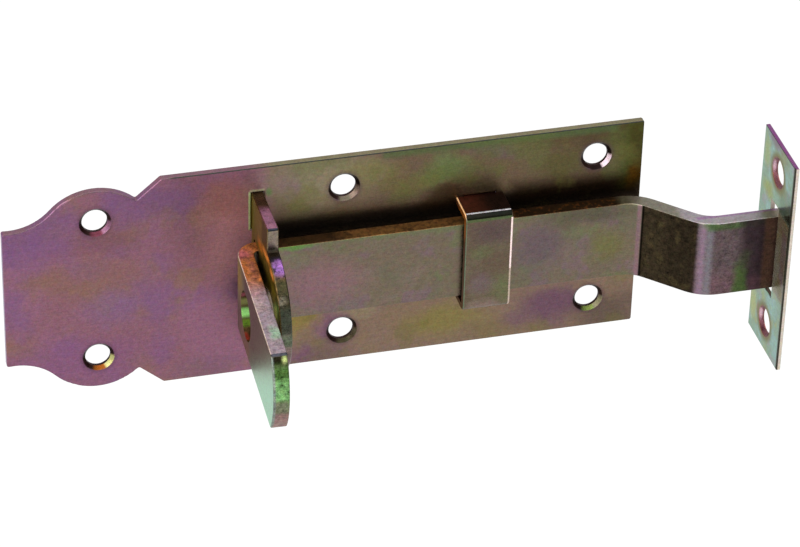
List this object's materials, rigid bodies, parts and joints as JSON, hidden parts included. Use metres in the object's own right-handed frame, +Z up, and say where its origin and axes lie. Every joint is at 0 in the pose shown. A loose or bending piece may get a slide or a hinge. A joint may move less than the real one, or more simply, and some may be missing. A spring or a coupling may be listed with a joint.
{
  "type": "cranked slide bolt",
  "caption": "Padlockable cranked slide bolt in plated steel sheet, with a shaped base plate, lock staple, guide strap and slotted strike plate.",
  "frame": {"origin": "middle of the base plate's back face, on the face of the door", "axes": "+X along the bolt towards the strike plate, +Y into the door, +Z up, so the front faces -Y"},
  "size_m": [0.1675, 0.0485, 0.052],
  "materials": {
    "plate_plating": "satin steel sheet, zinc plated and yellow passivated, iridescent mauve, pink and olive",
    "staple_plating": "zinc plated and yellow passivated steel, olive brown with pink and green film colours",
    "strap_plating": "zinc plated and yellow passivated steel sheet, taupe with bright bent edges",
    "bar_plating": "zinc plated and yellow passivated steel bar, taupe and olive with plum and green bands",
    "strike_plating": "zinc plated steel sheet, pale mint green with magenta edges and brown halos round the holes"
  },
  "bodies": {
    "base": {"base_plate": "plate_plating", "lock_staple": "staple_plating", "guide_strap": "strap_plating", "strike_plate": "strike_plating"},
    "bolt": {"sliding_bolt": "bar_plating"}
  },
  "joints": [
    {"name": "bolt_slide", "type": "slide", "parent": "base", "child": "bolt", "axis": [1, 0, 0], "range_m": [-0.027, 0.0004]}
  ]
}
